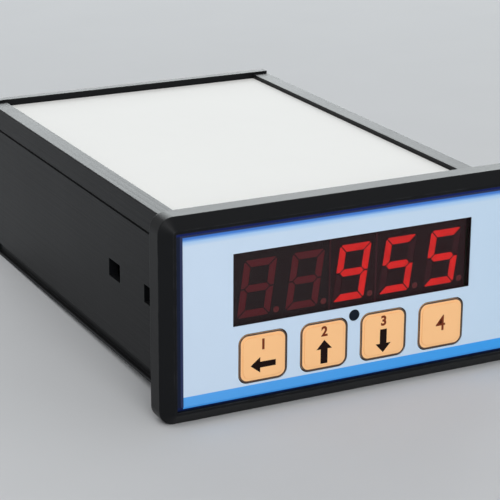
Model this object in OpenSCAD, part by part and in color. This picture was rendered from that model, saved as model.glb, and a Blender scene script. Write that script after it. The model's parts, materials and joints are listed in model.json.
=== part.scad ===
// Panel weighing indicator: a moulded bezel with a printed film and four keys, a long
// railed case, and the display, signal and power boards with rear screw terminals.
// The unit faces -Y and stands on +Z. Depths inside the modules run back from the
// front rim of the bezel, and heights run from the middle of the bezel.

/* [Bezel] */
// Width of the bezel
bezel_w = 96; // [94:0.5:104]
// Height of the bezel
bezel_h = 48; // [47.5:0.5:54]
// Corner radius of the bezel
bezel_corner_r = 3.6; // [3.5:0.1:5]
// Thickness of the flange that seats on the panel
flange_t = 4.4; // [3.5:0.1:6]
// Depth of the slope from the flange up to the rim
bevel_depth = 2.2; // [1.8:0.1:3]
// Inset of the rim from the edge of the bezel
bevel_inset = 2.7; // [2:0.1:2.7]
// Width of the flat top of the rim
rim_w = 0.7; // [0.4:0.1:0.7]
// Thickness of the wall behind the printed film
face_wall_t = 2; // [1.5:0.1:2.4]
// Length of the collar that slides into the case
collar_len = 8; // [6:0.5:10]
// Wall of the collar and its latch tongues
collar_wall = 1.2; // [1:0.1:1.4]

/* [Case] */
// Width of the case
case_w = 83.6; // [82:0.2:90]
// Height of the case over its rails
case_h = 41.8; // [41.6:0.2:44]
// Length of the case behind the flange
case_len = 119; // [112:1:150]
// Distance of the middle of the case below the middle of the bezel
case_drop = 0.7; // [0:0.1:1]
// Wall of the case
case_wall = 2.2; // [1.8:0.1:2.4]
// Width of the rails along the top
rail_w = 4.4; // [3:0.1:6]
// Height of the rails over the label deck
rail_h = 1.3; // [0.8:0.1:1.5]
// Width of the shadow groove along each side
groove_w = 0.6; // [0.4:0.1:1]
// Depth of the shadow groove
groove_depth = 0.5; // [0.3:0.1:0.8]
// Height of the shadow groove below the top of the rails
groove_drop = 5.8; // [5:0.1:7]
// Height of the undercut above the bottom lip
undercut_h = 2.7; // [2:0.1:3.5]
// Depth of the undercut
undercut_depth = 1; // [0.5:0.1:1.2]
// Height of the bottom lip
lip_h = 0.7; // [0.5:0.1:1.2]
// Length of the plain front stretch of the sides
plain_len = 13; // [11:0.5:16]

/* [Side slots] */
// Length of the slot that a panel clamp hooks into
clamp_slot_len = 6.6; // [5:0.1:8]
// Height of the side slots
slot_h = 4.4; // [4.3:0.1:4.6]
// Distance of the clamp slot behind the flange
clamp_slot_back = 31.2; // [28:0.2:40]
// Length of the slot that the bezel latch clicks into
latch_slot_len = 5; // [4:0.1:6]
// Distance of the latch slot behind the flange
latch_slot_back = 12.3; // [11.5:0.1:14]

/* [Film and keys] */
// Gap between the printed film and the rim at each side
overlay_side_gap = 1.2; // [0.4:0.1:1.6]
// Gap between the printed film and the rim above and below
overlay_end_gap = 0.8; // [0.4:0.1:1]
// Thickness of the printed film
overlay_t = 0.25; // [0.2:0.01:0.4]
// Depth of the face of the film behind the rim
overlay_sink = 0.8; // [0.6:0.1:1]
// Width of the display window
window_w = 61.2; // [61:0.1:61.8]
// Height of the display window
window_h = 16.8; // [16:0.1:17]
// Space below the window as a share of the film's height
window_base_share = 0.427; // [0.424:0.001:0.43]
// Width of a key
key_w = 11.8; // [10:0.1:12]
// Height of a key as a share of the film's height
key_h_share = 0.288; // [0.26:0.002:0.29]
// Corner radius of a key
key_corner_r = 2.1; // [1:0.1:2.5]
// Spacing of the keys
key_pitch = 15.5; // [15.2:0.1:16]
// Space below the keys as a share of the film's height
key_bottom_share = 0.076; // [0.07:0.001:0.078]
// Travel of a key
key_travel = 0.35; // [0.2:0.05:0.4]
// Height of the raised middle of a key over the film
key_emboss = 0.15; // [0.1:0.05:0.3]
// Diameter of the status lens
status_d = 2.6; // [2:0.1:2.8]

/* [Display] */
// Space between a digit and the edge of the window above and below
digit_margin = 1.75; // [1.5:0.05:2.2]
// Distance of the middle of the digits below the middle of the window
digit_drop = 0.55; // [0:0.05:0.7]
// Width of a digit across its strokes
digit_w = 8.1; // [6.5:0.1:8.3]
// Lean of the digits in degrees
digit_slant = 8; // [0:0.5:9]
// Width of a stroke
stroke_w = 1.7; // [1.2:0.05:2]
// Spacing of the digits
digit_pitch = 12; // [11.9:0.05:12.1]
// Lip of a display module behind the edge of the window
module_lip = 0.8; // [0.5:0.1:0.8]
// Thickness of a display module
module_t = 8; // [7:0.1:9]
// Diameter of a decimal point
point_d = 1.5; // [1:0.1:1.7]

/* [Boards] */
// Thickness of every circuit board
board_t = 1.6; // [1.2:0.1:1.6]
// Height of the signal board's underside above the middle of the bezel
signal_rise = 2.9; // [2.8:0.1:3]
// Distance of the power board's underside below the middle of the bezel
power_drop = 17.2; // [17:0.1:17.4]
// Depth of the guide ribs that hold the boards
rib_depth = 2; // [1.5:0.1:2.5]
// Thickness of a guide rib
rib_t = 1; // [0.8:0.1:1.1]

/* [Rear] */
// Thickness of the rear cover
cover_t = 2.4; // [2:0.1:3]
// Height of the rear cover above the rails
cover_rise = 0.6; // [0:0.1:1]
// Number of poles in each terminal block
poles = 12; // [8:1:13]
// Spacing of the poles
pole_pitch = 5.08; // [5:0.01:5.08]
// Height of a terminal block
block_h = 12; // [11:0.1:12]
// Depth of a terminal block
block_len = 18; // [16:0.5:20]
// How far the terminal blocks stand out of the rear cover
block_proud = 7; // [5:0.5:9]

/* [Hidden] */
$fn = 48;

// Overrun of every cut past the face it opens
over = 0.5;
// Clearance of a part that slides into another
slide_gap = 0.15;
// Clearance round parts that stand in an opening
edge_gap = 0.3;
// Clearance of a running pin or stem
pin_gap = 0.08;

// Depths behind the front rim
flange_back = bevel_depth + flange_t;
seat_recess = 0.6;
case_front = flange_back - seat_recess;
case_back = flange_back + case_len;
cover_back = case_back + cover_t;
overall_depth = cover_back + block_proud;
film_back = overlay_sink + overlay_t;
wall_back = film_back + face_wall_t;
collar_back = flange_back + collar_len;

// Printed film
overlay_w = bezel_w - 2 * (bevel_inset + rim_w + overlay_side_gap);
overlay_h = bezel_h - 2 * (bevel_inset + rim_w + overlay_end_gap);
window_rise = overlay_h * (window_base_share - 0.5) + window_h / 2;
key_h = overlay_h * key_h_share;
key_drop = overlay_h * (0.5 - key_bottom_share) - key_h / 2;

// Heights from the middle of the bezel
case_mid = -case_drop;
case_top = case_mid + case_h / 2;
case_bottom = case_mid - case_h / 2;
deck_top = case_top - rail_h;
cavity_top = deck_top - case_wall;
cavity_bottom = case_bottom + case_wall;
cavity_mid = (cavity_top + cavity_bottom) / 2;
cavity_h = cavity_top - cavity_bottom;
cavity_w = case_w - 2 * case_wall;

// Collar of the bezel and the pocket inside it
collar_w = cavity_w - 2 * slide_gap;
collar_h = cavity_h - 2 * slide_gap;
pocket_w = collar_w - 2 * collar_wall;
pocket_h = collar_h - 2 * collar_wall;

// Latch tongues on the collar
tongue_h = slot_h + 2 * rib_t;
barb_gap = 0.3;
barb_sink = 0.8;
barb_proud = case_wall - barb_sink;
barb_flat_share = 0.35;

// Display window and modules
lens_lip = 0.6;
lens_lip_t = 0.7;
module_gap = 0.05;
module_h = window_h + 2 * module_lip;
digit_h = window_h - 2 * digit_margin;
opening_w = window_w + 2 * lens_lip + 2 * slide_gap;
opening_h = module_h + 2 * edge_gap;
module_front = film_back + lens_lip_t + slide_gap;
board_front = module_front + module_t;
board_back = board_front + board_t;
segment_t = 0.6;
segment_gap = 0.18;
corner_cut = 0.6;
digit_shift = 0.25;
digit_rise = window_rise - digit_drop;
segment_sink = 0.05;
point_offset = 4.55;
digit_centres = [for (i = [-2 : 2]) i * digit_pitch];

// Keys, their plungers and their switches
key_gap = 0.25;
key_centres = [for (i = [-1.5 : 1 : 1.5]) i * key_pitch];
emboss_inset = 0.9;
plunger_lip = 0.6;
plunger_lip_t = 0.9;
plunger_post_d = 4;
switch_w = 6;
switch_t = 3.5;
switch_plate_t = 0.3;
switch_rivet_d = 0.8;
switch_rivet_inset = 0.9;
stem_d = 3.4;
stem_out = 0.9;
stem_in = 0.9;
stem_room = 0.7;
switch_front = board_front - switch_t;
stem_front = switch_front - stem_out;

// Status lens and its diode
status_stem_d = 1.5;
status_web = 0.36;
status_drop = opening_h / 2 - window_rise + status_web + status_stem_d / 2 + pin_gap;
diode_w = 2;
diode_h = 1.2;
diode_t = 0.8;

// Display board and its screws
display_board_w = pocket_w - 2 * edge_gap;
display_board_h = pocket_h - 2 * edge_gap;
boss_d = 4.6;
boss_x = 34.6;
boss_top = 11.5;
boss_bottom = -14.5;
small_screw_d = 1.9;
small_head_d = 3.8;
small_head_t = 1.3;
small_screw_len = 6;
slot_cut_w = 0.6;

// Long boards in the guide ribs
long_board_w = cavity_w - 2 * slide_gap;
long_board_front = collar_back + edge_gap;
long_board_back = case_back - 2 * edge_gap;
signal_top = signal_rise + board_t;
power_top = board_t - power_drop;
rib_start = 2;
rib_end = 15;
rib_front = flange_back + latch_slot_back + latch_slot_len + rib_start;
rib_back = case_back - rib_end;
board_gap = 0.1;

// Screws and bosses of the rear cover
cover_boss_d = 5.6;
cover_boss_len = 12;
cover_boss_inset = 2.6;
cover_boss_x = cavity_w / 2 - cover_boss_inset;
cover_boss_top = cavity_top - cover_boss_inset;
cover_boss_bottom = cavity_bottom + cover_boss_inset;
cover_screw_d = 2.2;
cover_head_d = 4.4;
cover_head_t = 1.8;
cover_screw_len = 10;
tab_w = 22;
tab_len = 3;
tab_t = 1.4;
board_notch_w = long_board_w / 2 - cover_boss_x + cover_boss_d / 2 + edge_gap;
board_notch_len = cover_boss_len + edge_gap;

// Terminal blocks
block_end_w = 1;
block_w = poles * pole_pitch + block_end_w;
block_front = overall_depth - block_len;
upper_block_base = signal_top;
lower_block_base = power_top;
entry_w = 3.7;
entry_h = 3.9;
entry_rise = 3.4;
entry_len = 9;
driver_d = 3.6;
driver_rise = 8.9;
driver_len = 3.2;
term_screw_head_d = 3.3;
term_screw_head_t = 1.4;
term_screw_d = 2.4;
term_screw_len = 5;
clamp_t = 0.5;
clamp_sink = 2.6;
solder_pin_d = 1;
solder_pin_back = 14;
solder_pin_out = 1;
block_rib_w = 0.8;
block_rib_t = 0.5;

// Headers between the boards
header_pins = 10;
header_step = 2.54;
header_pin_d = 0.7;
header_body = 2.5;
header_back = 1;
link_pins = 8;
link_x = 31.5;
link_back = 34;

// Label on the deck
label_t = 0.2;

front_y = -overall_depth / 2;

// Frame of the assembly: y is depth behind the rim, z is height from the bezel's middle
module placed() {
    translate([0, front_y, bezel_h / 2]) children();
}

// Box by its middle in x and z and its front and back depth
module slab(w, h, front, back, x = 0, z = 0) {
    translate([x - w / 2, front, z - h / 2]) cube([w, back - front, h]);
}

// Round bar along the depth
module rod(d, front, back, x = 0, z = 0) {
    translate([x, back, z]) rotate([90, 0, 0]) cylinder(d = d, h = back - front);
}

// Outline drawn in x and z, pushed along the depth
module pushed(front, back) {
    translate([0, back, 0]) rotate([90, 0, 0]) linear_extrude(back - front) children();
}

module rounded_rect(w, h, r) {
    square([w - 2 * r, h], center = true);
    square([w, h - 2 * r], center = true);
    for (sx = [-1, 1], sy = [-1, 1]) {
        translate([sx * (w / 2 - r), sy * (h / 2 - r)]) circle(r);
    }
}

// Profile swept round a rectangle with rounded corners
module swept_frame(w, h, r) {
    for (k = [0 : 3]) {
        a = (k % 2 == 0 ? w : h) / 2 - r;
        b = (k % 2 == 0 ? h : w) / 2 - r;
        rotate([0, 90 * k, 0]) translate([a, 0, -b]) {
            linear_extrude(2 * b) children();
            rotate([-90, 0, 0]) rotate_extrude(angle = 90) children();
        }
    }
}

// Rim of the bezel in section: the slope outside, the flat top and the inner step
module rim_section() {
    r = bezel_corner_r;
    polygon([
        [r, bevel_depth],
        [r - bevel_inset, 0],
        [r - bevel_inset - rim_w, 0],
        [r - bevel_inset - rim_w, bevel_depth]
    ]);
}

// Ring of the flange that rests on the panel, open where the mouth of the case enters
module seat_ring() {
    difference() {
        rounded_rect(bezel_w, bezel_h, bezel_corner_r);
        translate([0, case_mid])
            square([case_w + 2 * slide_gap, case_h + 2 * slide_gap], center = true);
    }
}

module bezel_holes() {
    slab(opening_w, opening_h, 0, wall_back + over, z = window_rise);
    for (x = key_centres) {
        translate([x, 0, -key_drop]) pushed(0, wall_back + over)
            rounded_rect(key_w + 2 * key_gap, key_h + 2 * key_gap, key_corner_r + key_gap);
    }
    rod(status_stem_d + 2 * pin_gap, 0, wall_back + over, z = -status_drop);
}

// Tongue with a barb that clicks into the case from inside
module latch(side) {
    x = side * (collar_w / 2 - collar_wall / 2);
    barb_front = flange_back + latch_slot_back + barb_gap;
    barb_back = barb_front + latch_slot_len - 2 * barb_gap;
    slab(collar_wall, tongue_h, collar_back - over, barb_back, x, case_mid);
    translate([side * collar_w / 2, 0, case_mid]) linear_extrude(slot_h - 2 * barb_gap, center = true)
        polygon([
            [0, barb_front],
            [side * barb_proud, barb_front],
            [side * barb_proud, barb_front + (barb_back - barb_front) * barb_flat_share],
            [0, barb_back]
        ]);
}

module bezel() {
    color([0.07, 0.07, 0.08]) placed() {
        difference() {
            union() {
                swept_frame(bezel_w, bezel_h, bezel_corner_r) rim_section();
                pushed(bevel_depth, case_front) rounded_rect(bezel_w, bezel_h, bezel_corner_r);
                pushed(case_front, flange_back) seat_ring();
                slab(bezel_w - 2 * bevel_inset - rim_w, bezel_h - 2 * bevel_inset - rim_w,
                    film_back, bevel_depth);
                slab(collar_w, collar_h, case_front, collar_back, z = cavity_mid);
            }
            slab(pocket_w, pocket_h, wall_back, collar_back + over, z = cavity_mid);
            bezel_holes();
        }
        difference() {
            for (x = [-boss_x, boss_x], z = [boss_bottom, boss_top]) {
                rod(boss_d, wall_back, board_front, x, z);
            }
            for (x = [-boss_x, boss_x], z = [boss_bottom, boss_top]) {
                rod(small_screw_d + 2 * pin_gap, wall_back, board_front + over, x, z);
            }
        }
        for (side = [-1, 1]) latch(side);
    }
}

// Half of the case in section, walked from the bottom up its outside
function case_side(side) = [
    [side * case_w / 2, case_bottom],
    [side * case_w / 2, case_top - edge_gap],
    [side * (case_w / 2 - edge_gap), case_top],
    [side * (case_w / 2 - rail_w), case_top],
    [side * (case_w / 2 - rail_w), deck_top]
];

module case_section() {
    difference() {
        polygon(concat(case_side(1), [for (i = [4 : -1 : 0]) case_side(-1)[i]]));
        translate([0, cavity_mid]) square([cavity_w, cavity_h], center = true);
    }
}

// Pair of ribs that hold the edge of a board whose underside is at z
module guide(side, z) {
    for (rib_z = [z - board_gap - rib_t / 2, z + board_t + board_gap + rib_t / 2]) {
        slab(rib_depth + over, rib_t, rib_front, rib_back,
            side * (cavity_w / 2 - rib_depth / 2 + over / 2), rib_z);
    }
}

module side_slots(side) {
    x = side * case_w / 2;
    front = flange_back + clamp_slot_back;
    latch_front = flange_back + latch_slot_back;
    slab(2 * case_wall + 2 * over, slot_h, front, front + clamp_slot_len, x, case_mid);
    slab(2 * case_wall + 2 * over, slot_h, latch_front, latch_front + latch_slot_len, x, case_mid);
}

// Shadow groove and undercut of one side
module side_relief(side) {
    front = flange_back + plain_len;
    slab(2 * groove_depth, groove_w, front, case_back + over, side * case_w / 2,
        case_top - groove_drop);
    pushed(front, case_back + over) polygon([
        [side * case_w / 2, case_bottom + lip_h + undercut_h],
        [side * (case_w / 2 - undercut_depth), case_bottom + lip_h + undercut_h - undercut_depth],
        [side * (case_w / 2 - undercut_depth), case_bottom + lip_h],
        [side * (case_w / 2 + over), case_bottom + lip_h],
        [side * (case_w / 2 + over), case_bottom + lip_h + undercut_h]
    ]);
}

module case() {
    color([0.08, 0.08, 0.09]) placed() difference() {
        union() {
            pushed(case_front, case_back) case_section();
            for (side = [-1, 1]) {
                guide(side, signal_rise);
                guide(side, -power_drop);
                for (z = [cover_boss_bottom, cover_boss_top]) {
                    rod(cover_boss_d, case_back - cover_boss_len, case_back, side * cover_boss_x, z);
                }
            }
        }
        for (side = [-1, 1]) {
            side_slots(side);
            side_relief(side);
            for (z = [cover_boss_bottom, cover_boss_top]) {
                rod(cover_screw_d + 2 * pin_gap, case_back - cover_boss_len + over,
                    case_back + over, side * cover_boss_x, z);
            }
        }
    }
}

module rear_cover() {
    top = case_top + cover_rise;
    color([0.08, 0.08, 0.09]) placed() {
        difference() {
            slab(case_w, top - case_bottom, case_back, cover_back, z = (top + case_bottom) / 2);
            for (base = [upper_block_base, lower_block_base]) {
                slab(block_w + 2 * edge_gap, block_h + 2 * edge_gap, case_back - over,
                    cover_back + over, z = base + block_h / 2);
            }
            for (side = [-1, 1], z = [cover_boss_bottom, cover_boss_top]) {
                rod(cover_screw_d + 2 * pin_gap, case_back - over, cover_back + over,
                    side * cover_boss_x, z);
            }
        }
        slab(tab_w, tab_t, case_back - tab_len, case_back,
            z = cavity_bottom + slide_gap + tab_t / 2);
    }
}

// Pan head screw whose head sits on the face at depth face and points back
module pan_screw(x, z, face, shank_d, shank_len, head_d, head_t) {
    rod(shank_d, face - shank_len, face + head_t / 2, x, z);
    difference() {
        translate([x, face, z]) rotate([-90, 0, 0]) rotate_extrude() polygon([
            [0, 0],
            [head_d / 2, 0],
            [head_d / 2, head_t / 2],
            [head_d / 3, head_t],
            [0, head_t]
        ]);
        for (turn = [0, 90]) {
            translate([x, 0, z]) rotate([0, turn, 0])
                slab(head_d * 0.6, slot_cut_w, face + head_t / 2, face + head_t + over);
        }
    }
}

module cover_screws() {
    color([0.7, 0.7, 0.72]) placed()
        for (side = [-1, 1], z = [cover_boss_bottom, cover_boss_top]) {
            pan_screw(side * cover_boss_x, z, cover_back, cover_screw_d, cover_screw_len,
                cover_head_d, cover_head_t);
        }
}

module board_screws() {
    color([0.7, 0.7, 0.72]) placed()
        for (x = [-boss_x, boss_x], z = [boss_bottom, boss_top]) {
            pan_screw(x, z, board_back, small_screw_d, small_screw_len, small_head_d, small_head_t);
        }
}

module top_label() {
    w = case_w - 2 * rail_w - 2 * slide_gap;
    color([0.92, 0.93, 0.93]) placed()
        slab(w, label_t, flange_back + edge_gap, case_back - edge_gap, z = deck_top + label_t / 2);
}

module overlay() {
    color([0.72, 0.82, 0.92]) placed() pushed(overlay_sink, film_back) difference() {
        rounded_rect(overlay_w, overlay_h, key_gap);
        translate([0, window_rise])
            square([window_w + 2 * pin_gap, window_h + 2 * pin_gap], center = true);
        for (x = key_centres) {
            translate([x, -key_drop])
                rounded_rect(key_w + 2 * key_gap, key_h + 2 * key_gap, key_corner_r + key_gap);
        }
        translate([0, -status_drop]) circle(d = status_d + 2 * pin_gap);
    }
}

// Smoked filter: its raised middle fills the window, its lip lies behind the film
module display_window() {
    color([0.25, 0.05, 0.05, 0.5]) placed() {
        slab(window_w, window_h, overlay_sink, film_back + lens_lip_t, z = window_rise);
        slab(window_w + 2 * lens_lip, module_h, film_back, film_back + lens_lip_t, z = window_rise);
    }
}

module status_lens() {
    color([0.1, 0.1, 0.2]) placed() {
        rod(status_d, overlay_sink, film_back, z = -status_drop);
        rod(status_stem_d, film_back, board_front - diode_t - edge_gap, z = -status_drop);
    }
}

module status_led() {
    color([0.9, 0.9, 0.8]) placed()
        slab(diode_w, diode_h, board_front - diode_t, board_front, z = -status_drop);
}

// Printed film pad of a key with its raised middle
module key_pad(x) {
    color([0.98, 0.75, 0.5]) placed() translate([x, 0, -key_drop]) {
        pushed(overlay_sink, film_back) rounded_rect(key_w, key_h, key_corner_r);
        pushed(overlay_sink - key_emboss, overlay_sink)
            rounded_rect(key_w - 2 * emboss_inset, key_h - 2 * emboss_inset,
                key_corner_r - emboss_inset / 2);
    }
}

// Button behind the film: a block in the wall opening, a lip behind it and a post
module plunger(x) {
    lip_front = wall_back + key_gap;
    color([0.85, 0.85, 0.85]) placed() translate([x, 0, -key_drop]) {
        pushed(film_back, lip_front) rounded_rect(key_w, key_h, key_corner_r);
        slab(key_w + 2 * key_gap + 2 * plunger_lip, key_h + 2 * key_gap + 2 * plunger_lip,
            lip_front, lip_front + plunger_lip_t);
        rod(plunger_post_d, lip_front + plunger_lip_t, stem_front);
    }
}

module switch_stem(x) {
    color([0.1, 0.1, 0.1]) placed()
        rod(stem_d, stem_front, switch_front + stem_in, x, -key_drop);
}

module switch_body(x) {
    plate_w = switch_w - switch_plate_t;
    color([0.2, 0.2, 0.2]) placed() translate([x, 0, -key_drop]) difference() {
        union() {
            slab(switch_w, switch_w, switch_front + switch_plate_t, board_front);
            slab(plate_w, plate_w, switch_front, switch_front + switch_plate_t);
            for (sx = [-1, 1], sz = [-1, 1]) {
                rod(switch_rivet_d, switch_front - switch_plate_t, switch_front,
                    sx * (switch_w / 2 - switch_rivet_inset), sz * (switch_w / 2 - switch_rivet_inset));
            }
        }
        rod(stem_d + 2 * pin_gap, switch_front - over, switch_front + stem_in + stem_room);
    }
}

module display_board() {
    color([0.05, 0.35, 0.15]) placed() difference() {
        slab(display_board_w, display_board_h, board_front, board_back, z = cavity_mid);
        for (x = [-boss_x, boss_x], z = [boss_bottom, boss_top]) {
            rod(small_screw_d + 2 * board_gap, board_front - over, board_back + over, x, z);
        }
        for (z = [signal_top, power_top], i = [0 : header_pins - 1]) {
            rod(header_pin_d + 2 * board_gap, board_front - over, board_back + over,
                (i - (header_pins - 1) / 2) * header_step, z + header_body / 2);
        }
    }
}

// Mitred strokes of a digit that reaches w to each side and h up and down: the level one
// at the top, the upright one at the top of a side, and the middle one
function stroke_level(w, h) = [
    [corner_cut - w, h],
    [w - corner_cut, h],
    [w - (corner_cut + segment_gap) / 2, h - (corner_cut - segment_gap) / 2],
    [w - stroke_w - segment_gap, h - stroke_w],
    [stroke_w + segment_gap - w, h - stroke_w],
    [(corner_cut + segment_gap) / 2 - w, h - (corner_cut - segment_gap) / 2]
];
function stroke_upright(w, h, side) = [for (p = [
    [w, h - corner_cut],
    [w, segment_gap],
    [w - stroke_w / 2, segment_gap],
    [w - stroke_w, stroke_w / 2 + segment_gap],
    [w - stroke_w, h - stroke_w - segment_gap],
    [w - (corner_cut - segment_gap) / 2, h - (corner_cut + segment_gap) / 2]
]) [side * p[0], p[1]]];
function stroke_middle(w) = [
    [stroke_w / 2 + segment_gap - w, 0],
    [stroke_w + segment_gap - w, stroke_w / 2],
    [w - stroke_w - segment_gap, stroke_w / 2],
    [w - stroke_w / 2 - segment_gap, 0],
    [w - stroke_w - segment_gap, -stroke_w / 2],
    [stroke_w + segment_gap - w, -stroke_w / 2]
];

// Points of a stroke, turned over where turn is -1, leaned and set beside the decimal point
function leaned(points, turn) = [
    for (p = points) [turn * (p[0] + p[1] * tan(digit_slant)) - digit_shift, turn * p[1]]
];

// The seven strokes and the point of one digit
module digit_strokes() {
    for (turn = [1, -1]) {
        polygon(leaned(stroke_level(digit_w / 2, digit_h / 2), turn));
        polygon(leaned(stroke_upright(digit_w / 2, digit_h / 2, 1), turn));
        polygon(leaned(stroke_upright(digit_w / 2, digit_h / 2, -1), turn));
    }
    polygon(leaned(stroke_middle(digit_w / 2), 1));
    translate([point_offset, -digit_h / 2 + point_d / 2]) circle(d = point_d);
}

// Case of a display module with a pocket for each stroke
module display_module(digits) {
    w = len(digits) * digit_pitch - 2 * module_gap;
    mid = digit_centres[digits[0]] / 2 + digit_centres[digits[len(digits) - 1]] / 2;
    color([0.16, 0.14, 0.14]) placed() difference() {
        slab(w, module_h, module_front, board_front, mid, window_rise);
        for (i = digits) {
            translate([digit_centres[i], 0, digit_rise])
                pushed(module_front - over, module_front + segment_t) digit_strokes();
        }
        slab(w - 2 * case_wall, module_h / 2, board_front - module_t / 3, board_front + over,
            mid, window_rise);
    }
}

module segments(digits) {
    color([0.85, 0.1, 0.1]) placed()
        for (i = digits) {
            translate([digit_centres[i], 0, digit_rise])
                pushed(module_front + segment_sink, module_front + segment_t) digit_strokes();
        }
}

module long_board(underside, notched) {
    placed() difference() {
        slab(long_board_w, board_t, long_board_front, long_board_back, z = underside + board_t / 2);
        if (notched) {
            for (side = [-1, 1]) {
                slab(2 * board_notch_w, board_t + 2 * over, case_back - board_notch_len,
                    long_board_back + over, side * long_board_w / 2, underside + board_t / 2);
            }
        }
        for (i = [0 : poles - 1]) {
            translate([(i - (poles - 1) / 2) * pole_pitch, overall_depth - solder_pin_back,
                underside - over])
                cylinder(d = solder_pin_d + 2 * board_gap, h = board_t + 2 * over);
        }
    }
}

module signal_board() {
    color([0.05, 0.35, 0.15]) long_board(signal_rise, false);
}

module power_board() {
    color([0.05, 0.35, 0.15]) long_board(-power_drop, true);
}

// Angled pin strip on the front edge of a board, its pins reaching the display board
module header(top) {
    front = long_board_front + header_back;
    color([0.1, 0.1, 0.1]) placed() {
        slab(header_pins * header_step, header_body, front, front + header_body,
            z = top + header_body / 2);
        for (i = [0 : header_pins - 1]) {
            rod(header_pin_d, board_front + board_gap, front,
                (i - (header_pins - 1) / 2) * header_step, top + header_body / 2);
        }
    }
}

// Tall pin strip that carries the supply and signals between the two long boards
module board_link() {
    color([0.1, 0.1, 0.1]) placed()
        translate([-link_x, link_back, power_top]) {
            linear_extrude(header_body)
                square([header_body, link_pins * header_step], center = true);
            translate([0, 0, signal_rise - power_top - header_body]) linear_extrude(header_body)
                square([header_body, link_pins * header_step], center = true);
            for (i = [0 : link_pins - 1]) {
                translate([0, (i - (link_pins - 1) / 2) * header_step, 0])
                    cylinder(d = header_pin_d, h = signal_rise - power_top);
            }
        }
}

leg_w = 0.4;
leg_out = 0.9;
leg_t = 0.25;
// Flat chip with gull legs on two or four sides, standing on z
module chip(x, back, z, w, l, t, legs, four_sides = false) {
    pitch = (l - 2 * leg_w) / legs;
    translate([x, back, z]) {
        translate([0, 0, leg_t / 2]) linear_extrude(t) square([w, l], center = true);
        for (turn = four_sides ? [0 : 3] : [0, 2]) rotate(90 * turn) {
            for (i = [0 : legs - 1]) {
                translate([w / 2 - leg_out / 2, (i - (legs - 1) / 2) * pitch - leg_w / 2, 0])
                    cube([3 * leg_out / 2, leg_w, leg_t]);
            }
        }
    }
}

processor_w = 14;
processor_t = 1.4;
processor_x = 10;
processor_back = 46;
processor_legs = 16;
module processor() {
    color([0.12, 0.12, 0.12]) placed()
        chip(processor_x, processor_back, signal_top, processor_w, processor_w, processor_t,
            processor_legs, true);
}

converter_w = 7.5;
converter_l = 15;
converter_t = 2.2;
converter_x = -16;
converter_back = 92;
converter_legs = 12;
module converter_chip() {
    color([0.12, 0.12, 0.12]) placed()
        chip(converter_x, converter_back, signal_top, converter_w, converter_l, converter_t,
            converter_legs);
}

can_w = 18;
can_l = 24;
can_h = 5;
can_wall = 0.4;
can_hole_d = 1.3;
can_hole_step = 2.7;
module shield_can() {
    color([0.75, 0.76, 0.78]) placed() translate([converter_x, converter_back, signal_top])
        difference() {
            linear_extrude(can_h) rounded_rect(can_w, can_l, 2 * can_wall);
            translate([0, 0, -can_wall]) linear_extrude(can_h)
                square([can_w - 2 * can_wall, can_l - 2 * can_wall], center = true);
            for (ix = [-2 : 2], iy = [-3 : 3]) {
                translate([ix * can_hole_step, iy * can_hole_step, 0])
                    cylinder(d = can_hole_d, h = can_h + over);
            }
        }
}

crystal_w = 10.4;
crystal_d = 4.5;
crystal_h = 3.4;
crystal_rim = 0.4;
crystal_x = 10;
crystal_back = 62;
module crystal() {
    color([0.78, 0.78, 0.8]) placed() translate([crystal_x, crystal_back, signal_top]) {
        linear_extrude(crystal_h)
            rounded_rect(crystal_w, crystal_d, crystal_d / 2 - crystal_rim / 4);
        linear_extrude(crystal_rim)
            rounded_rect(crystal_w + crystal_rim, crystal_d + crystal_rim, crystal_d / 2);
    }
}

logic_w = 4;
logic_l = 10;
logic_t = 1.5;
logic_legs = 8;
logic_back = 66;
logic_left = -16;
logic_middle = -3;
logic_right = 24;
driver_x = 10;
driver_right = 22;
driver_back = 98;
module logic_chips() {
    color([0.12, 0.12, 0.12]) placed() {
        for (x = [logic_left, logic_middle, logic_right]) {
            chip(x, logic_back, signal_top, logic_w, logic_l, logic_t, logic_legs);
        }
        for (x = [driver_x, driver_right]) {
            chip(x, driver_back, signal_top, logic_w, logic_l, logic_t, logic_legs);
        }
    }
}

core_w = 20;
core_l = 5.5;
core_h = 15;
core_window_w = 14;
core_window_h = 10;
core_x = -6;
core_back = 66;
winding_l = 14;
winding_gap = 0.2;
// Pair of ferrite E cores as a frame with its middle leg inside the winding
module transformer_core() {
    color([0.2, 0.2, 0.22]) placed() translate([core_x, core_back, power_top + core_h / 2])
        rotate([90, 0, 0]) linear_extrude(core_l, center = true) {
            difference() {
                square([core_w, core_h], center = true);
                square([core_window_w, core_window_h], center = true);
            }
            square([core_l - 2 * winding_gap, core_h], center = true);
        }
}

// Taped coil on its former, round the middle leg of the core
module transformer_winding() {
    leg = core_l;
    coil_w = core_window_w - 2 * winding_gap;
    coil_h = core_window_h - 2 * winding_gap;
    color([0.85, 0.7, 0.15]) placed() translate([core_x, core_back, power_top + core_h / 2])
        difference() {
            linear_extrude(coil_h, center = true) rounded_rect(coil_w, winding_l, winding_l / 6);
            linear_extrude(core_h, center = true)
                square([leg, core_l + 2 * winding_gap], center = true);
        }
}

bulk_d = 12.5;
bulk_h = 15;
bulk_x = 18;
bulk_back = 70;
sleeve_groove = 0.4;
groove_low_share = 0.1;
groove_mid_share = 0.14;
groove_high_share = 0.18;
// Upright electrolytic: sleeve with a rolled groove low on its side and a domed rim
module can_capacitor(x, back, z, d, h) {
    translate([x, back, z]) rotate_extrude() polygon([
        [0, 0],
        [d / 2, 0],
        [d / 2, h * groove_low_share],
        [d / 2 - sleeve_groove, h * groove_mid_share],
        [d / 2, h * groove_high_share],
        [d / 2, h - sleeve_groove],
        [d / 2 - sleeve_groove, h],
        [d / 2 - 2 * sleeve_groove, h - sleeve_groove / 2],
        [0, h - sleeve_groove / 2]
    ]);
}

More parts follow.
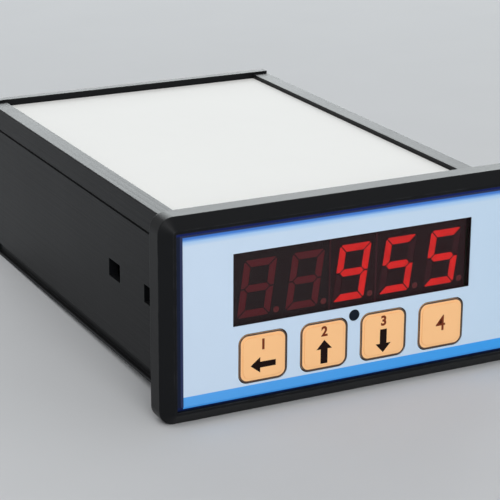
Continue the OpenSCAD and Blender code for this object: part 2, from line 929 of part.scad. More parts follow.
module bulk_capacitor() {
    color([0.1, 0.1, 0.25]) placed() can_capacitor(bulk_x, bulk_back, power_top, bulk_d, bulk_h);
}

small_cap_d = 8;
small_cap_h = 11.5;
small_cap_left = -24;
small_cap_step = 10;
small_cap_back = 52;
input_cap_x = 30;
input_cap_back = 56;
module small_capacitors() {
    color([0.1, 0.1, 0.25]) placed() {
        for (x = [small_cap_left, small_cap_left + small_cap_step]) {
            can_capacitor(x, small_cap_back, power_top, small_cap_d, small_cap_h);
        }
        can_capacitor(input_cap_x, input_cap_back, power_top, small_cap_d, small_cap_h);
    }
}

bridge_w = 9;
bridge_l = 7;
bridge_h = 3.2;
bridge_x = 31;
bridge_back = 72;
bridge_legs = 2;
module bridge_rectifier() {
    color([0.12, 0.12, 0.12]) placed()
        chip(bridge_x, bridge_back, power_top, bridge_w, bridge_l, bridge_h, bridge_legs);
}

fuse_d = 5.2;
fuse_len = 20;
fuse_cap_len = 5;
fuse_cap_wall = 0.15;
fuse_x = 24;
fuse_back = 91;
fuse_rise = 4.5;
module mains_fuse() {
    color([0.85, 0.88, 0.9]) placed() translate([fuse_x, fuse_back, power_top + fuse_rise])
        rotate([0, 90, 0]) {
            cylinder(d = fuse_d - 2 * fuse_cap_wall, h = fuse_len, center = true);
            for (side = [-1, 1]) {
                translate([0, 0, side * (fuse_len - fuse_cap_len) / 2])
                    cylinder(d = fuse_d, h = fuse_cap_len, center = true);
            }
        }
}

clip_w = 3.5;
clip_t = 0.5;
// Sprung clips that grip the fuse's caps and stand on the board
module fuse_clips() {
    outer = fuse_d + 2 * clip_t;
    color([0.75, 0.7, 0.5]) placed()
        for (side = [-1, 1]) {
            translate([fuse_x + side * (fuse_len - fuse_cap_len) / 2, fuse_back, power_top])
                rotate([90, 0, 90]) linear_extrude(clip_w, center = true) difference() {
                    union() {
                        translate([-outer / 2, 0]) square([outer, fuse_rise]);
                        translate([0, fuse_rise]) circle(d = outer);
                    }
                    translate([0, fuse_rise]) circle(d = fuse_d);
                    translate([-fuse_d / 2, fuse_rise + fuse_d / 4]) square([fuse_d, fuse_d]);
                    translate([-outer / 2 + clip_t, clip_t])
                        square([outer - 2 * clip_t, fuse_rise - fuse_d / 2 - 2 * clip_t]);
                }
        }
}

relay_w = 10;
relay_l = 18;
relay_h = 15;
relay_edge = 0.6;
relay_left = -26;
relay_step = 13;
relay_back = 98;
module relays() {
    color([0.9, 0.55, 0.1]) placed()
        for (x = [relay_left, relay_left + relay_step]) {
            translate([x, relay_back, power_top]) {
                linear_extrude(relay_h - relay_edge) rounded_rect(relay_w, relay_l, relay_edge);
                linear_extrude(relay_h)
                    rounded_rect(relay_w - 2 * relay_edge, relay_l - 2 * relay_edge, relay_edge);
            }
        }
}

regulator_w = 10;
regulator_t = 4.4;
regulator_h = 9;
tab_h = 15;
tab_plate_t = 1.3;
regulator_x = 6;
regulator_back = 44;
// Upright regulator with its metal tab against the heat sink
module regulator() {
    color([0.15, 0.15, 0.15]) placed() translate([regulator_x, regulator_back, power_top]) {
        slab(regulator_w, regulator_h, 0, regulator_t - tab_plate_t, z = regulator_h / 2);
        difference() {
            slab(regulator_w, tab_h, regulator_t - tab_plate_t, regulator_t, z = tab_h / 2);
            rod(regulator_w / 3, 0, regulator_t + over, z = tab_h - regulator_w / 4);
        }
    }
}

sink_w = 24;
sink_h = 15.5;
sink_l = 7;
fin_t = 1;
fin_count = 7;
module heat_sink() {
    color([0.3, 0.3, 0.32]) placed()
        translate([regulator_x, regulator_back + regulator_t, power_top]) {
            slab(sink_w, sink_h, 0, fin_t, z = sink_h / 2);
            for (i = [0 : fin_count - 1]) {
                slab(fin_t, sink_h, 0, sink_l,
                    (i - (fin_count - 1) / 2) * (sink_w - fin_t) / (fin_count - 1), sink_h / 2);
            }
        }
}

function pole_x(i) = (i - (poles - 1) / 2) * pole_pitch;

module terminal_block(base) {
    back = overall_depth;
    difference() {
        union() {
            slab(block_w, block_h, block_front, back - block_rib_t, z = base + block_h / 2);
            for (i = [0 : poles]) {
                slab(block_rib_w, block_h, back - block_proud / 2, back,
                    pole_x(i) - pole_pitch / 2, base + block_h / 2);
            }
        }
        for (i = [0 : poles - 1]) {
            slab(entry_w, entry_h, back - entry_len, back + over, pole_x(i), base + entry_rise);
            rod(driver_d, back - driver_len, back + over, pole_x(i), base + driver_rise);
            rod(term_screw_d + 2 * pin_gap, back - driver_len - term_screw_len, back,
                pole_x(i), base + driver_rise);
            translate([pole_x(i), back - solder_pin_back, base - over])
                cylinder(d = solder_pin_d + 2 * board_gap, h = entry_rise + over);
            slab(solder_pin_d + 2 * board_gap, solder_pin_d + 2 * board_gap,
                back - solder_pin_back - solder_pin_d, back - entry_len + over, pole_x(i),
                base + entry_rise);
        }
    }
}

module terminal_block_upper() {
    color([0.15, 0.45, 0.2]) placed() terminal_block(upper_block_base);
}

module terminal_block_lower() {
    color([0.15, 0.45, 0.2]) placed() terminal_block(lower_block_base);
}

// Wire clamps: a cage in each wire entry, a bar behind it and a pin down through the board
module terminal_clamps(base) {
    back = overall_depth;
    color([0.75, 0.68, 0.45]) placed()
        for (i = [0 : poles - 1]) {
            difference() {
                slab(entry_w - 2 * pin_gap, entry_h - 2 * pin_gap, back - entry_len + pin_gap,
                    back - clamp_sink, pole_x(i), base + entry_rise);
                slab(entry_w - 2 * clamp_t, entry_h - 2 * clamp_t, back - entry_len + clamp_t,
                    back, pole_x(i), base + entry_rise);
            }
            slab(solder_pin_d, solder_pin_d, back - solder_pin_back - solder_pin_d / 2,
                back - entry_len + pin_gap, pole_x(i), base + entry_rise);
            translate([pole_x(i), back - solder_pin_back, base - board_t - solder_pin_out])
                cylinder(d = solder_pin_d, h = board_t + solder_pin_out + entry_rise);
        }
}

module terminal_clamps_upper() {
    terminal_clamps(upper_block_base);
}

module terminal_clamps_lower() {
    terminal_clamps(lower_block_base);
}

module terminal_screws(base) {
    seat = overall_depth - driver_len;
    color([0.72, 0.72, 0.74]) placed()
        for (i = [0 : poles - 1]) {
            rod(term_screw_d, seat - term_screw_len + over, seat, pole_x(i), base + driver_rise);
            difference() {
                rod(term_screw_head_d, seat, seat + term_screw_head_t, pole_x(i), base + driver_rise);
                slab(term_screw_head_d, slot_cut_w, seat + term_screw_head_t / 2,
                    seat + term_screw_head_t + over, pole_x(i), base + driver_rise);
            }
        }
}

module terminal_screws_upper() {
    terminal_screws(upper_block_base);
}

module terminal_screws_lower() {
    terminal_screws(lower_block_base);
}

bezel();
case();
rear_cover();
cover_screws();
top_label();
overlay();
display_window();
status_lens();
key_pad(key_centres[0]);  // key_1
key_pad(key_centres[1]);  // key_2
key_pad(key_centres[2]);  // key_3
key_pad(key_centres[3]);  // key_4
plunger(key_centres[0]);  // plunger_1
plunger(key_centres[1]);  // plunger_2
plunger(key_centres[2]);  // plunger_3
plunger(key_centres[3]);  // plunger_4
switch_stem(key_centres[0]);  // switch_stem_1
switch_stem(key_centres[1]);  // switch_stem_2
switch_stem(key_centres[2]);  // switch_stem_3
switch_stem(key_centres[3]);  // switch_stem_4
switch_body(key_centres[0]);  // switch_1
switch_body(key_centres[1]);  // switch_2
switch_body(key_centres[2]);  // switch_3
switch_body(key_centres[3]);  // switch_4
display_board();
board_screws();
display_module([0, 1]);  // display_left
display_module([2]);  // display_middle
display_module([3, 4]);  // display_right
segments([0, 1]);  // segments_left
segments([2]);  // segments_middle
segments([3, 4]);  // segments_right
status_led();
signal_board();
power_board();
header(signal_top);  // signal_header
header(power_top);  // power_header
board_link();
processor();
converter_chip();
shield_can();
crystal();
logic_chips();
transformer_core();
transformer_winding();
bulk_capacitor();
small_capacitors();
bridge_rectifier();
mains_fuse();
fuse_clips();
relays();
regulator();
heat_sink();
terminal_block_upper();
terminal_block_lower();
terminal_clamps_upper();
terminal_clamps_lower();
terminal_screws_upper();
terminal_screws_lower();
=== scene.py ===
"""Looks of a panel weighing indicator: film, lit digits, keys, moulded case, boards and terminals."""
import json
import math

import bmesh
import bpy
from mathutils import Matrix, Vector


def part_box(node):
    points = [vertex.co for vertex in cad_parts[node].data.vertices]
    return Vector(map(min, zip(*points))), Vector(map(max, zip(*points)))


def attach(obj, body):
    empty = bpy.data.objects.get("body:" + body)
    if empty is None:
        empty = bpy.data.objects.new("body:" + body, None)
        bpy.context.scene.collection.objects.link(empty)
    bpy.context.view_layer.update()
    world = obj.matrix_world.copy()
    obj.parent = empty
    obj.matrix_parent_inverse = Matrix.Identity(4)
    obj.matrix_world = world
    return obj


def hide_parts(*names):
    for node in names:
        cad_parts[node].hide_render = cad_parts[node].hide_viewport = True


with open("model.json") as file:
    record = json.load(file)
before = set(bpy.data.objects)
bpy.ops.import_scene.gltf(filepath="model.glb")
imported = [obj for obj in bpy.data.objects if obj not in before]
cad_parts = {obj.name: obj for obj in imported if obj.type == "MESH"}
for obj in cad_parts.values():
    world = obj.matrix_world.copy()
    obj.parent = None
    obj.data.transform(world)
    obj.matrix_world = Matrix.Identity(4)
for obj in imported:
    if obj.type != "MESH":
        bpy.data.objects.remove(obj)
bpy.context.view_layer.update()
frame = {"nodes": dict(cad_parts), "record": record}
nodes = frame["nodes"]
MM = 0.001

# Sizes of the printed, lit and plated parts, in millimetres
INK_T = 0.015
OUTLINE_W = 0.36
KEY_CORNER_R = 2.1
KEY_SHOULDER = 0.15
INK_SINK = 0.02
STROKE_W = 1.7
STROKE_GAP = 0.18
STROKE_BEVEL = 0.1
CORNER_CUT = 0.6
DIGIT_W = 8.1
DIGIT_SHIFT = 0.25
DIGIT_LEAN = math.tan(math.radians(8))
DIGIT_PITCH = 12
SEAM_HALF = 0.18
POINT_D = 1.5
POINT_OFFSET = 4.55
POLES = 12
POLE_PITCH = 5.08
POLE_NUMBER_SIZE = 2.3
POLE_NUMBER_BOLD = 0.02
UPPER_NUMBER_DROP = 2.7
LOWER_NUMBER_RISE = 1.6
STRIP_H = 2.5
CHIP_LEG_H = 0.26
FUSE_GLASS_HALF = 5
BOTTOM_STRIPE = 2.25
TOP_STRIPE = 0.85
TOP_FADE = 0.5
NAVY_LEFT = 0.55
NAVY_TOP = 0.35
BORDER_W = 1.15
BORDER_H = 0.75
BORDER_GAP = 0.01
STRIPE_OVERRUN = 0.3


def srgb(r, g, b):
    """Linear colour of a colour read on screen, from 0 to 255."""
    def linear(v):
        v = v / 255
        return v / 12.92 if v <= 0.04045 else ((v + 0.055) / 1.055) ** 2.4
    return (linear(r), linear(g), linear(b), 1)


# Shared effects

def start_group(name, inputs, outputs):
    """Empty shader group with float or colour sockets; returns its tree, input node and output node."""
    tree = bpy.data.node_groups.new(name, "ShaderNodeTree")
    kinds = {"f": "NodeSocketFloat", "c": "NodeSocketColor", "v": "NodeSocketVector"}
    for label, kind, value in inputs:
        socket = tree.interface.new_socket(label, in_out="INPUT", socket_type=kinds[kind])
        if value is not None:
            socket.default_value = value
    for label, kind in outputs:
        tree.interface.new_socket(label, in_out="OUTPUT", socket_type=kinds[kind])
    return tree, tree.nodes.new("NodeGroupInput"), tree.nodes.new("NodeGroupOutput")


def add(tree, kind, settings=(), **links):
    """Node of a kind with its settings; each keyword names an input (spaces as _) and what feeds it."""
    node = tree.nodes.new("ShaderNode" + kind)
    for key, value in dict(settings).items():
        setattr(node, key, value)
    for key, value in links.items():
        if key[0] == "i" and key[1:].isdigit():
            socket = node.inputs[int(key[1:])]
        else:
            socket = node.inputs[key.replace("_", " ")]
        if isinstance(value, bpy.types.NodeSocket):
            tree.links.new(value, socket)
        else:
            socket.default_value = value
    return node


def maths(tree, operation, *values):
    """Math node whose inputs are the given sockets or numbers."""
    links = {"i%d" % i: value for i, value in enumerate(values)}
    return add(tree, "Math", {"operation": operation}, **links).outputs[0]


def span(tree, value, low, high, soft):
    """1 where value lies from low to high, fading over soft on both sides."""
    up = add(tree, "MapRange", i0=value, i1=low - soft, i2=low, i3=0.0, i4=1.0).outputs[0]
    down = add(tree, "MapRange", i0=value, i1=high, i2=high + soft, i3=1.0, i4=0.0).outputs[0]
    return maths(tree, "MULTIPLY", up, down)


def place(tree):
    """X, Y and Z of the surface point in the row frame, as separate sockets."""
    coordinates = add(tree, "TexCoord")
    return add(tree, "SeparateXYZ", Vector=coordinates.outputs["Object"]).outputs


def mix(tree, factor, first, second, blend="MIX"):
    """Colour mix node's result."""
    node = tree.nodes.new("ShaderNodeMix")
    node.data_type = "RGBA"
    node.blend_type = blend
    for socket, value in ((node.inputs[0], factor), (node.inputs[6], first), (node.inputs[7], second)):
        if isinstance(value, bpy.types.NodeSocket):
            tree.links.new(value, socket)
        else:
            socket.default_value = value
    return node.outputs[2]


def moulded_grain_group():
    """Spark-eroded grain of moulded plastic: a height, a tone that drifts and a roughness that drifts."""
    tree, inside, outside = start_group(
        "moulded_grain",
        [("Scale", "f", 2600.0), ("Tone Drift", "f", 0.1), ("Rough", "f", 0.45),
         ("Rough Drift", "f", 0.08)],
        [("Height", "f"), ("Tone", "f"), ("Roughness", "f")])
    where = add(tree, "TexCoord").outputs["Object"]
    fine = add(tree, "TexNoise", Vector=where, Scale=inside.outputs["Scale"], Detail=3.0, Roughness=0.6)
    broad = add(tree, "TexNoise", Vector=where, Scale=38.0, Detail=4.0, Roughness=0.55)
    centred = maths(tree, "SUBTRACT", broad.outputs[0], 0.5)
    drift = maths(tree, "MULTIPLY", centred, inside.outputs["Tone Drift"])
    rub = maths(tree, "MULTIPLY", centred, inside.outputs["Rough Drift"])
    tree.links.new(fine.outputs[0], outside.inputs["Height"])
    tree.links.new(maths(tree, "MULTIPLY_ADD", drift, 2.0, 1.0), outside.inputs["Tone"])
    tree.links.new(maths(tree, "ADD", inside.outputs["Rough"], rub), outside.inputs["Roughness"])
    return tree


def edge_rub_group():
    """Mask that is 1 on outer edges, broken up by noise: worn edges that also carry a painted highlight,
    and painted shade on the keys.
    """
    tree, inside, outside = start_group(
        "edge_wear_and_painted_light", [("Radius", "f", 0.0004), ("Patch Scale", "f", 260.0)], [("Mask", "f")])
    flat = add(tree, "NewGeometry").outputs["Normal"]
    rounded = add(tree, "Bevel", {"samples": 4}, Radius=inside.outputs["Radius"]).outputs[0]
    alike = add(tree, "VectorMath", {"operation": "DOT_PRODUCT"}, i0=flat, i1=rounded).outputs["Value"]
    edge = add(tree, "MapRange", i0=alike, i1=0.995, i2=0.9, i3=0.0, i4=1.0).outputs[0]
    where = add(tree, "TexCoord").outputs["Object"]
    patches = add(tree, "TexNoise", Vector=where, Scale=inside.outputs["Patch Scale"], Detail=5.0)
    broken = add(tree, "MapRange", i0=patches.outputs[0], i1=0.42, i2=0.62, i3=0.0, i4=1.0).outputs[0]
    tree.links.new(maths(tree, "MULTIPLY", edge, broken), outside.inputs["Mask"])
    return tree


def dust_group():
    """Grey in patches on upward faces: thin dust, and a painted sheen of the light from above."""
    tree, inside, outside = start_group("dust_and_top_sheen", [("Amount", "f", 0.1)], [("Mask", "f")])
    up = add(tree, "SeparateXYZ", Vector=add(tree, "NewGeometry").outputs["Normal"]).outputs[2]
    where = add(tree, "TexCoord").outputs["Object"]
    patches = add(tree, "TexNoise", Vector=where, Scale=90.0, Detail=6.0, Roughness=0.7).outputs[0]
    specks = add(tree, "TexNoise", Vector=where, Scale=1500.0, Detail=2.0).outputs[0]
    facing = add(tree, "MapRange", i0=up, i1=0.4, i2=1.0, i3=0.0, i4=1.0).outputs[0]
    marks_and_painted_light = maths(tree, "MULTIPLY", patches, specks)
    tree.links.new(
        maths(tree, "MULTIPLY", maths(tree, "MULTIPLY", facing, marks_and_painted_light), inside.outputs["Amount"]),
        outside.inputs["Mask"])
    return tree


GRAIN = moulded_grain_group()
EDGE_WEAR_AND_PAINTED_LIGHT = edge_rub_group()
DUST_AND_SHEEN = dust_group()


def use(tree, group, **values):
    """Places a shared group in a material with its own values."""
    node = tree.nodes.new("ShaderNodeGroup")
    node.node_tree = group
    for key, value in values.items():
        node.inputs[key.replace("_", " ")].default_value = value
    return node


# Finishes

def start_material(name, **shader_values):
    """New material and its shader, with plain numbers set on the shader's own sockets."""
    material = bpy.data.materials.new(name)
    material.use_nodes = True
    shader = material.node_tree.nodes["Principled BSDF"]
    for key, value in shader_values.items():
        shader.inputs[key.replace("_", " ")].default_value = value
    return material, material.node_tree, shader


def surface(tree, shader, height, strength, distance, soften=0.0):
    """Feeds the shader's normal with a bump, on edges softened by a small radius."""
    bump = add(tree, "Bump", Height=height, Strength=strength, Distance=distance)
    if soften:
        tree.links.new(add(tree, "Bevel", {"samples": 4}, Radius=soften).outputs[0], bump.inputs["Normal"])
    tree.links.new(bump.outputs[0], shader.inputs["Normal"])


def moulded(name, colour, rough=0.45, scale=2600.0, grain=0.25, soften=0.0002, rub=0.0, dust_and_sheen=0.0,
            drift=0.1, lines=0.0, rub_and_highlight_colour=(0.09, 0.09, 0.095, 1), **shader_values):
    """Moulded plastic: fine grain, drifting tone, softened and slightly rubbed edges with a painted edge
    highlight, and dust with a painted sheen on upward faces.

    With lines, faint draw marks run from front to rear, as on a long tube.
    """
    material, tree, shader = start_material(name, **shader_values)
    shared = use(tree, GRAIN, Scale=scale, Rough=rough, Tone_Drift=drift)
    tone = mix(tree, 1.0, colour, shared.outputs["Tone"], "MULTIPLY")
    # Rubbed edges: real wear, whose paler colour also paints the highlight where the edges catch the light.
    if rub:
        marks_and_painted_light = use(tree, EDGE_WEAR_AND_PAINTED_LIGHT, Radius=0.00035).outputs[0]
        tone = mix(tree, maths(tree, "MULTIPLY", marks_and_painted_light, rub), tone, rub_and_highlight_colour)
    # Dust on upward faces, whose grey also paints the sheen of the light from above.
    if dust_and_sheen:
        tone = mix(tree, use(tree, DUST_AND_SHEEN, Amount=dust_and_sheen).outputs[0], tone, (0.45, 0.44, 0.42, 1))
    tree.links.new(tone, shader.inputs["Base Color"])
    tree.links.new(shared.outputs["Roughness"], shader.inputs["Roughness"])
    height = shared.outputs["Height"]
    if lines:
        where = add(tree, "TexCoord").outputs["Object"]
        along = add(tree, "Mapping", Vector=where, Scale=(1.0, 0.008, 1.0)).outputs[0]
        marks = add(tree, "TexNoise", Vector=along, Scale=1500.0, Detail=2.0).outputs[0]
        height = maths(tree, "MULTIPLY_ADD", marks, lines, height)
    surface(tree, shader, height, grain, 0.00004, soften)
    return material


def metal(name, colour, rough=0.3, scale=900.0, stretch=(1.0, 1.0, 14.0), soften=0.00015, metallic=1.0):
    """Drawn or plated metal: fine lines one way and a patchy shine."""
    material, tree, shader = start_material(name, Metallic=metallic)
    where = add(tree, "TexCoord").outputs["Object"]
    lines = add(tree, "Mapping", Vector=where, Scale=stretch).outputs[0]
    drawn = add(tree, "TexNoise", Vector=lines, Scale=scale, Detail=4.0, Roughness=0.6).outputs[0]
    shared = use(tree, GRAIN, Scale=420.0, Rough=rough, Rough_Drift=0.25, Tone_Drift=0.22)
    tone = mix(tree, 1.0, colour, shared.outputs["Tone"], "MULTIPLY")
    tree.links.new(tone, shader.inputs["Base Color"])
    tree.links.new(shared.outputs["Roughness"], shader.inputs["Roughness"])
    surface(tree, shader, drawn, 0.18, 0.00003, soften)
    return material


def film_finish():
    """Pale blue printed film with a blue band along the bottom and a fading one along the top, and painted
    shade along its left and top edges.
    """
    low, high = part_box("overlay")
    material, tree, shader = start_material("film_print", Coat_Weight=0.15, Coat_Roughness=0.2)
    x, _, z = place(tree)
    shared = use(tree, GRAIN, Scale=3200.0, Rough=0.34, Tone_Drift=0.03, Rough_Drift=0.06)
    across = add(tree, "MapRange", i0=x, i1=low.x, i2=high.x, i3=0.0, i4=1.0).outputs[0]
    ground = mix(tree, across, srgb(202, 221, 241), srgb(194, 217, 238))
    bottom = span(tree, z, low.z - MM, low.z + BOTTOM_STRIPE * MM, 0.00012)
    top = span(tree, z, high.z - TOP_STRIPE * MM, high.z + MM, 0.0007)
    bottom_ink = mix(tree, across, srgb(80, 165, 240), srgb(44, 158, 240))
    tone = mix(tree, bottom, ground, bottom_ink)
    fade = span(tree, z, high.z - (TOP_STRIPE + TOP_FADE) * MM, high.z + MM, 0.0012)
    tone = mix(tree, maths(tree, "MULTIPLY", fade, 0.7), tone, srgb(132, 190, 244))
    tone = mix(tree, top, tone, srgb(58, 124, 214))
    # Painted shade: dark navy along the left and top edges of the film, under the rim.
    painted_edge_shade = maths(tree, "MAXIMUM", span(tree, x, low.x - MM, low.x + NAVY_LEFT * MM, 0.00015),
                 span(tree, z, high.z - NAVY_TOP * MM, high.z + MM, 0.0002))
    tone = mix(tree, painted_edge_shade, tone, srgb(3, 24, 74))
    tone = mix(tree, 1.0, tone, shared.outputs["Tone"], "MULTIPLY")
    tree.links.new(tone, shader.inputs["Base Color"])
    tree.links.new(shared.outputs["Roughness"], shader.inputs["Roughness"])
    surface(tree, shader, shared.outputs["Height"], 0.06, 0.00003)
    return material


def border_finish():
    """Dark navy border of the film, partly print and partly painted shade of the recess, each side in its
    own tone; the bottom stripe runs a little way over its edge.
    """
    low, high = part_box("overlay")
    material, tree, shader = start_material("film_border_and_recess_shade", Coat_Weight=0.05, Coat_Roughness=0.2,
                                           Specular_IOR_Level=0.2)
    x, _, z = place(tree)
    shared = use(tree, GRAIN, Scale=3200.0, Rough=0.34, Tone_Drift=0.03, Rough_Drift=0.06)
    top = span(tree, z, high.z, high.z + MM, 0.0001)
    bottom = span(tree, z, low.z - MM, low.z, 0.0001)
    overrun = maths(tree, "MULTIPLY", span(tree, x, low.x + NAVY_LEFT * MM, high.x, 0.0001),
                    span(tree, z, low.z - STRIPE_OVERRUN * MM, low.z + MM, 0.0001))
    # Painted shade: the top, the bottom and the sides of the recess each take their own tone.
    tone = mix(tree, top, srgb(5, 18, 46), srgb(2, 26, 96))
    tone = mix(tree, bottom, tone, srgb(4, 22, 66))
    tone = mix(tree, maths(tree, "MULTIPLY", bottom, overrun), tone, srgb(62, 150, 232))
    tone = mix(tree, 1.0, tone, shared.outputs["Tone"], "MULTIPLY")
    tree.links.new(tone, shader.inputs["Base Color"])
    tree.links.new(shared.outputs["Roughness"], shader.inputs["Roughness"])
    surface(tree, shader, shared.outputs["Height"], 0.06, 0.00003)
    return material


def key_finish():
    """Peach key film, with painted shade, a little deeper in colour, where the raised middle turns down."""
    material, tree, shader = start_material("key_print", Coat_Weight=0.1, Coat_Roughness=0.25)
    shared = use(tree, GRAIN, Scale=3200.0, Rough=0.4, Tone_Drift=0.03)
    # Painted shade: the colour deepens on the rounded shoulder of the key.
    rounded = use(tree, EDGE_WEAR_AND_PAINTED_LIGHT, Radius=0.0003).outputs[0]
    tone = mix(tree, maths(tree, "MULTIPLY", rounded, 0.35), srgb(255, 198, 138), srgb(232, 160, 96))
    tone = mix(tree, 1.0, tone, shared.outputs["Tone"], "MULTIPLY")
    tree.links.new(tone, shader.inputs["Base Color"])
    tree.links.new(shared.outputs["Roughness"], shader.inputs["Roughness"])
    surface(tree, shader, shared.outputs["Height"], 0.08, 0.00003, 0.00012)
    return material


def filter_finish():
    """Dark red tinted filter that lets most of the display through."""
    material, tree, shader = start_material("smoked_red", Specular_IOR_Level=0.2)
    shared = use(tree, GRAIN, Scale=900.0, Rough=0.07, Rough_Drift=0.03, Tone_Drift=0.1)
    tone = mix(tree, 1.0, (0.012, 0.004, 0.005, 1), shared.outputs["Tone"], "MULTIPLY")
    tree.links.new(tone, shader.inputs["Base Color"])
    tree.links.new(shared.outputs["Roughness"], shader.inputs["Roughness"])
    tree.links.new(maths(tree, "MULTIPLY", shared.outputs["Tone"], 0.3), shader.inputs["Alpha"])
    return material


def module_finish():
    """Dark module face with a painted reddish glow along the seams between modules and a painted red glow
    over the modules with lit digits.
    """
    material, tree, shader = start_material("module_face")
    x = place(tree)[0]
    shared = use(tree, GRAIN, Scale=2400.0, Rough=0.5)
    seam_x = 0.5 * DIGIT_PITCH
    # Painted glow: light leaking along the seams between modules.
    seam_glow = span(tree, maths(tree, "ABSOLUTE", x), (seam_x - SEAM_HALF) * MM,
                (seam_x + SEAM_HALF) * MM, 0.00008)
    tone = mix(tree, 1.0, srgb(52, 42, 44), shared.outputs["Tone"], "MULTIPLY")
    # Painted glow: the modules holding lit digits take a redder face.
    red_glow_side = add(tree, "MapRange", i0=x, i1=-seam_x * MM, i2=-0.4 * DIGIT_PITCH * MM,
                   i3=0.0, i4=1.0).outputs[0]
    tone = mix(tree, red_glow_side, tone, mix(tree, 1.0, srgb(60, 32, 37), shared.outputs["Tone"], "MULTIPLY"))
    tone = mix(tree, maths(tree, "MULTIPLY", seam_glow, 0.75), tone, srgb(118, 58, 68))
    tree.links.new(tone, shader.inputs["Base Color"])
    tree.links.new(shared.outputs["Roughness"], shader.inputs["Roughness"])
    surface(tree, shader, shared.outputs["Height"], 0.05, 0.00002)
    return material


def lit_finish(name, colour, strength):
    """Glowing resin, a touch uneven as a diffused chip is."""
    material, tree, shader = start_material(name, Roughness=0.5, Emission_Strength=strength)
    where = add(tree, "TexCoord").outputs["Object"]
    uneven = add(tree, "TexNoise", Vector=where, Scale=420.0, Detail=1.0).outputs[0]
    gain = add(tree, "MapRange", i0=uneven, i1=0.3, i2=0.7, i3=0.86, i4=1.08).outputs[0]
    tone = mix(tree, 1.0, colour, gain, "MULTIPLY")
    tree.links.new(tone, shader.inputs["Emission Color"])
    shader.inputs["Base Color"].default_value = (0.2, 0.01, 0.01, 1)
    return material


def board_finish():
    """Green solder resist with lighter tracks running along and across and dull gold pads."""
    material, tree, shader = start_material("green_board", Coat_Weight=0.3, Coat_Roughness=0.2)
    where = add(tree, "TexCoord").outputs["Object"]
    shared = use(tree, GRAIN, Scale=700.0, Rough=0.4, Tone_Drift=0.15)
    tiles = add(tree, "TexBrick", {"offset": 0.37, "squash": 0.6, "squash_frequency": 3}, Vector=where,
                Scale=95.0, Mortar_Size=0.06, Color1=(0, 0, 0, 1), Color2=(0, 0, 0, 1), Mortar=(1, 1, 1, 1))
    pads = add(tree, "TexVoronoi", Vector=where, Scale=240.0).outputs["Distance"]
    pad = add(tree, "MapRange", i0=pads, i1=0.12, i2=0.1, i3=0.0, i4=1.0).outputs[0]
    tone = mix(tree, tiles.outputs[0], (0.008, 0.09, 0.03, 1), (0.02, 0.17, 0.06, 1))
    tone = mix(tree, pad, tone, (0.55, 0.46, 0.28, 1))
    tone = mix(tree, 1.0, tone, shared.outputs["Tone"], "MULTIPLY")
    tree.links.new(tone, shader.inputs["Base Color"])
    tree.links.new(shared.outputs["Roughness"], shader.inputs["Roughness"])
    surface(tree, shader, tiles.outputs[0], 0.3, 0.00003)
    return material


def part_metal(name, body, mask_of, rough=0.5, shine=(0.7, 0.69, 0.66, 1)):
    """Plastic body whose masked parts are tinned metal; mask_of(tree) gives the mask."""
    material, tree, shader = start_material(name)
    mask = mask_of(tree)
    shared = use(tree, GRAIN, Scale=1800.0, Rough=rough)
    tone = mix(tree, 1.0, body, shared.outputs["Tone"], "MULTIPLY")
    tree.links.new(mix(tree, mask, tone, shine), shader.inputs["Base Color"])
    tree.links.new(mask, shader.inputs["Metallic"])
    tree.links.new(maths(tree, "MULTIPLY_ADD", mask, -0.2, shared.outputs["Roughness"]),
                   shader.inputs["Roughness"])
    surface(tree, shader, shared.outputs["Height"], 0.25, 0.00003, 0.0001)
    return material


def legs_mask(tree):
    """The thin layer of legs that touches either long board."""
    z = place(tree)[2]
    tops = [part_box("signal_board")[1].z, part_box("power_board")[1].z]
    found = [span(tree, z, top - 0.0001, top + CHIP_LEG_H * MM, 0.00002) for top in tops]
    return maths(tree, "MAXIMUM", *found)


def pins_mask(tree):
    """Pins in front of the angled strips and between the strips of the tall link."""
    _, y, z = place(tree)
    low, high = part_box("signal_header")
    link_low, link_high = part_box("board_link")
    strip = STRIP_H * MM
    reach = span(tree, y, low.y - MM, high.y - strip - 0.00002, 0.00001)
    tall = span(tree, z, link_low.z + strip, link_high.z - strip, 0.00001)
    behind = span(tree, y, link_low.y - MM, link_high.y + MM, MM)
    return maths(tree, "MAXIMUM", reach, maths(tree, "MULTIPLY", tall, behind))


def caps_mask(tree):
    """End caps of the fuse."""
    low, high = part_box("mains_fuse")
    x = place(tree)[0]
    middle = maths(tree, "SUBTRACT", x, (low.x + high.x) / 2)
    return span(tree, maths(tree, "ABSOLUTE", middle), FUSE_GLASS_HALF * MM, high.x - low.x, 0.00002)


def can_top_mask(tree):
    """Bare aluminium on the upward end of an electrolytic."""
    up = add(tree, "SeparateXYZ", Vector=add(tree, "NewGeometry").outputs["Normal"]).outputs[2]
    return add(tree, "MapRange", i0=up, i1=0.8, i2=0.95, i3=0.0, i4=1.0).outputs[0]


